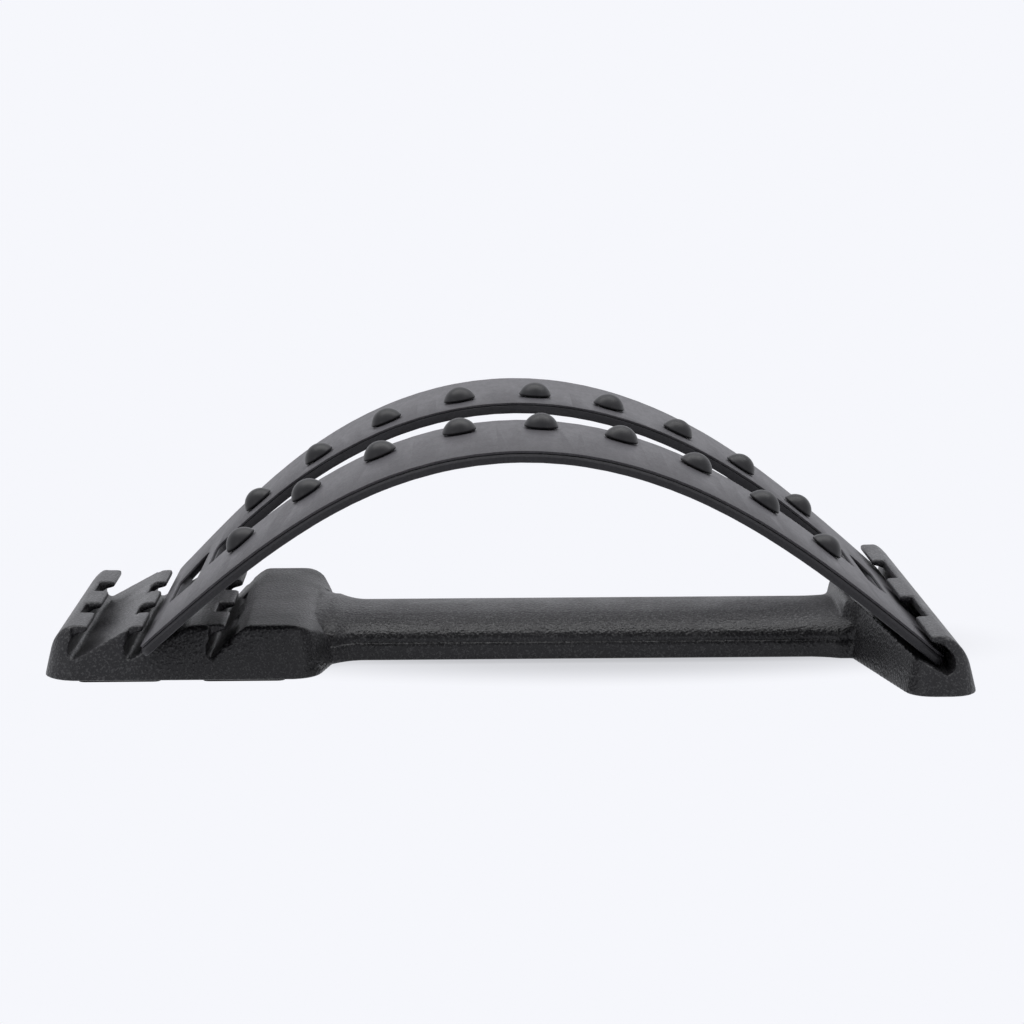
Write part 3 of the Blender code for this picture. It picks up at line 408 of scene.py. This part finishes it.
def add_camera():
    data = bpy.data.cameras.new("camera")
    data.lens = CAMERA_LENS
    data.sensor_width = 36.0
    thing = bpy.data.objects.new("camera", data)
    bpy.context.scene.collection.objects.link(thing)
    turn = Matrix.Rotation(CAMERA_TURN, 4, "Z") @ Matrix.Rotation(CAMERA_TILT, 4, "X")
    thing.matrix_world = Matrix.Translation(CAMERA_PLACE) @ turn @ Matrix.Rotation(CAMERA_ROLL, 4, "Z")
    bpy.context.scene.camera = thing


def add_lamp(name, place, aim, width, height, power):
    data = bpy.data.lights.new(name, "AREA")
    data.shape = "RECTANGLE"
    data.size = width
    data.size_y = height
    data.energy = power
    thing = bpy.data.objects.new(name, data)
    thing.location = place
    away = Vector(place) - Vector(aim)
    thing.rotation_euler = away.to_track_quat("Z", "Y").to_euler()
    bpy.context.scene.collection.objects.link(thing)


def seen_or_mirrored(tree):
    """One where the camera looks or a surface mirrors, else nought."""
    path = tree.nodes.new("ShaderNodeLightPath")
    shown = tree.nodes.new("ShaderNodeMath")
    shown.operation = "MAXIMUM"
    tree.links.new(path.outputs["Is Camera Ray"], shown.inputs[0])
    tree.links.new(path.outputs["Is Glossy Ray"], shown.inputs[1])
    return shown.outputs["Value"]


def add_world():
    """Even studio light, with the photograph's pale background for the camera and mirrored rays."""
    world = bpy.data.worlds.new("studio")
    bpy.context.scene.world = world
    world.use_nodes = True
    tree = world.node_tree
    lit = tree.nodes["Background"]
    lit.inputs["Color"].default_value = (0.96, 0.97, 1.0, 1.0)
    lit.inputs["Strength"].default_value = WORLD_STRENGTH
    seen = tree.nodes.new("ShaderNodeBackground")
    seen.inputs["Color"].default_value = (*BACKGROUND, 1.0)
    mix = tree.nodes.new("ShaderNodeMixShader")
    tree.links.new(seen_or_mirrored(tree), mix.inputs["Fac"])
    tree.links.new(lit.outputs["Background"], mix.inputs[1])
    tree.links.new(seen.outputs["Background"], mix.inputs[2])
    tree.links.new(mix.outputs["Shader"], tree.nodes["World Output"].inputs["Surface"])


def floor_finish():
    """Pale floor that keeps the object's shadow and fades into the background."""
    made = bpy.data.materials.new("floor")
    made.use_nodes = True
    tree = made.node_tree
    tree.nodes.clear()
    place = tree.nodes.new("ShaderNodeTexCoord")
    distance = tree.nodes.new("ShaderNodeVectorMath")
    distance.operation = "LENGTH"
    across = tree.nodes.new("ShaderNodeMapping")
    across.inputs["Scale"].default_value = (FLOOR_ALONG, FLOOR_ACROSS, 1.0)
    across.inputs["Location"].default_value = (FLOOR_SHIFT, 0.0, 0.0)
    tree.links.new(place.outputs["Object"], across.inputs["Vector"])
    tree.links.new(across.outputs["Vector"], distance.inputs[0])
    fade = tree.nodes.new("ShaderNodeMapRange")
    fade.interpolation_type = "SMOOTHSTEP"
    fade.inputs["From Min"].default_value = FLOOR_NEAR
    fade.inputs["From Max"].default_value = FLOOR_REACH
    fade.inputs["To Min"].default_value = FLOOR_GLOW_NEAR
    fade.inputs["To Max"].default_value = 1.0
    tree.links.new(distance.outputs["Value"], fade.inputs["Value"])
    matte = tree.nodes.new("ShaderNodeBsdfDiffuse")
    matte.inputs["Color"].default_value = (*FLOOR_COLOUR, 1.0)
    glow = tree.nodes.new("ShaderNodeEmission")
    glow.inputs["Color"].default_value = (*BACKGROUND, 1.0)
    seen = tree.nodes.new("ShaderNodeMath")
    seen.operation = "MULTIPLY"
    tree.links.new(fade.outputs["Result"], seen.inputs[0])
    tree.links.new(seen_or_mirrored(tree), seen.inputs[1])
    near = tree.nodes.new("ShaderNodeMixShader")
    tree.links.new(seen.outputs["Value"], near.inputs["Fac"])
    tree.links.new(matte.outputs["BSDF"], near.inputs[1])
    tree.links.new(glow.outputs["Emission"], near.inputs[2])
    out = tree.nodes.new("ShaderNodeOutputMaterial")
    tree.links.new(near.outputs["Shader"], out.inputs["Surface"])
    return made


def add_floor():
    work = bmesh.new()
    bmesh.ops.create_grid(work, x_segments=1, y_segments=1, size=3.0)
    mesh = bpy.data.meshes.new("floor")
    work.to_mesh(mesh)
    work.free()
    mesh.materials.append(floor_finish())
    floor = bpy.data.objects.new("floor", mesh)
    bpy.context.scene.collection.objects.link(floor)


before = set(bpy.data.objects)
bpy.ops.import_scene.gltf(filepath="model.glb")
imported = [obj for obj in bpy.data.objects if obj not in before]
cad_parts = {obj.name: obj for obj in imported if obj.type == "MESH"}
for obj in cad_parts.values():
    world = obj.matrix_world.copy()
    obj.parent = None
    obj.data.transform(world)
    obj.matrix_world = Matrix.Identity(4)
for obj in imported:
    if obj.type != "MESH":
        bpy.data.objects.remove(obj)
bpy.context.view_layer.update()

finishes = {
    "base": spark_plastic(),
    # The board layer is the facing's plastic made darker: painted shade for its rim band under the facing.
    "board": sheet_plastic("board_plastic", (0.038, 0.037, 0.041), (0.052, 0.051, 0.056), 0.08 * MM, 0.30),
    "facing": sheet_plastic("facing_plastic", (0.060, 0.058, 0.064), (0.084, 0.081, 0.089), 0.14 * MM, 0.45),
    "nub": nub_rubber(),
    "pad": pad_rubber(),
}
soften_base(finishes["base"])
soften_layer("arch_board", 0.35 * MM, finishes["board"], "board_plastic")
soften_layer("arch_facing", 0.25 * MM, finishes["facing"], "facing_plastic")
for name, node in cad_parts.items():
    if name.startswith("nub_"):
        turn_nub(name, finishes["nub"])
    elif name.startswith("foot_pad"):
        node.data.materials.clear()
        node.data.materials.append(finishes["pad"])

add_world()
add_floor()
add_camera()
add_lamp("top_softbox", (0.0, 0.35, 1.45), (0.0, 0.0, 0.0), 2.2, 0.9, 16.0)
add_lamp("left_strip", (-1.1, -1.0, 0.55), (0.0, 0.0, 0.05), 0.35, 1.0, 1.2)
add_lamp("right_strip", (1.1, -1.0, 0.55), (0.0, 0.0, 0.05), 0.35, 1.0, 0.8)
bpy.context.scene.view_settings.view_transform = "Standard"
